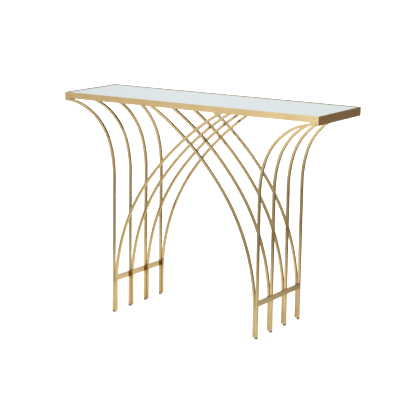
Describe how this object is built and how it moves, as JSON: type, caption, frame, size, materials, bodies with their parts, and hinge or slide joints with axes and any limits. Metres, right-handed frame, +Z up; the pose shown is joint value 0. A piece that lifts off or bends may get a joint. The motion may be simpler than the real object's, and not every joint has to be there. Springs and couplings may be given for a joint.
{
  "type": "mirror-topped console table",
  "caption": "Long narrow console or vanity table with a mirror set in a shallow metal tray, on flat frames of bent square bar with crossing arches.",
  "frame": {"origin": "middle of the table on the floor", "axes": "+X along the table to its right, -Y to its front, +Z up"},
  "size_m": [1.1, 0.332, 0.84],
  "materials": {
    "gold": "satin gold lacquer",
    "mirror": "polished",
    "board": "raw fibreboard",
    "pads": "adhesive foam",
    "screws": "zinc plated",
    "glide": "moulded",
    "stud": "zinc plated"
  },
  "bodies": {
    "table": {"front_rail": "gold", "back_rail": "gold", "left_rail": "gold", "right_rail": "gold", "left_crossbar": "gold", "right_crossbar": "gold", "backing_board": "board", "mirror_pads": "pads", "mirror": "mirror", "board_screws": "screws", "left_end_bar": "gold", "right_end_bar": "gold", "left_leg_1": "gold", "left_leg_2": "gold", "left_leg_3": "gold", "left_leg_4": "gold", "right_leg_1": "gold", "right_leg_2": "gold", "right_leg_3": "gold", "right_leg_4": "gold", "left_arch_1": "gold", "left_arch_2": "gold", "left_arch_3": "gold", "left_arch_4": "gold", "right_arch_1": "gold", "right_arch_2": "gold", "right_arch_3": "gold", "right_arch_4": "gold", "left_stretcher_1": "gold", "left_stretcher_2": "gold", "left_stretcher_3": "gold", "right_stretcher_1": "gold", "right_stretcher_2": "gold", "right_stretcher_3": "gold"},
    "left_glide_1": {"left_glide_foot_1": "glide", "left_glide_stud_1": "stud"},
    "left_glide_2": {"left_glide_foot_2": "glide", "left_glide_stud_2": "stud"},
    "left_glide_3": {"left_glide_foot_3": "glide", "left_glide_stud_3": "stud"},
    "left_glide_4": {"left_glide_foot_4": "glide", "left_glide_stud_4": "stud"},
    "right_glide_1": {"right_glide_foot_1": "glide", "right_glide_stud_1": "stud"},
    "right_glide_2": {"right_glide_foot_2": "glide", "right_glide_stud_2": "stud"},
    "right_glide_3": {"right_glide_foot_3": "glide", "right_glide_stud_3": "stud"},
    "right_glide_4": {"right_glide_foot_4": "glide", "right_glide_stud_4": "stud"}
  },
  "joints": [
    {"name": "left_glide_1_screw", "type": "slide", "parent": "table", "child": "left_glide_1", "axis": [0, 0, -1], "range_m": [0, 0.008]},
    {"name": "left_glide_2_screw", "type": "slide", "parent": "table", "child": "left_glide_2", "axis": [0, 0, -1], "range_m": [0, 0.008]},
    {"name": "left_glide_3_screw", "type": "slide", "parent": "table", "child": "left_glide_3", "axis": [0, 0, -1], "range_m": [0, 0.008]},
    {"name": "left_glide_4_screw", "type": "slide", "parent": "table", "child": "left_glide_4", "axis": [0, 0, -1], "range_m": [0, 0.008]},
    {"name": "right_glide_1_screw", "type": "slide", "parent": "table", "child": "right_glide_1", "axis": [0, 0, -1], "range_m": [0, 0.008]},
    {"name": "right_glide_2_screw", "type": "slide", "parent": "table", "child": "right_glide_2", "axis": [0, 0, -1], "range_m": [0, 0.008]},
    {"name": "right_glide_3_screw", "type": "slide", "parent": "table", "child": "right_glide_3", "axis": [0, 0, -1], "range_m": [0, 0.008]},
    {"name": "right_glide_4_screw", "type": "slide", "parent": "table", "child": "right_glide_4", "axis": [0, 0, -1], "range_m": [0, 0.008]}
  ]
}
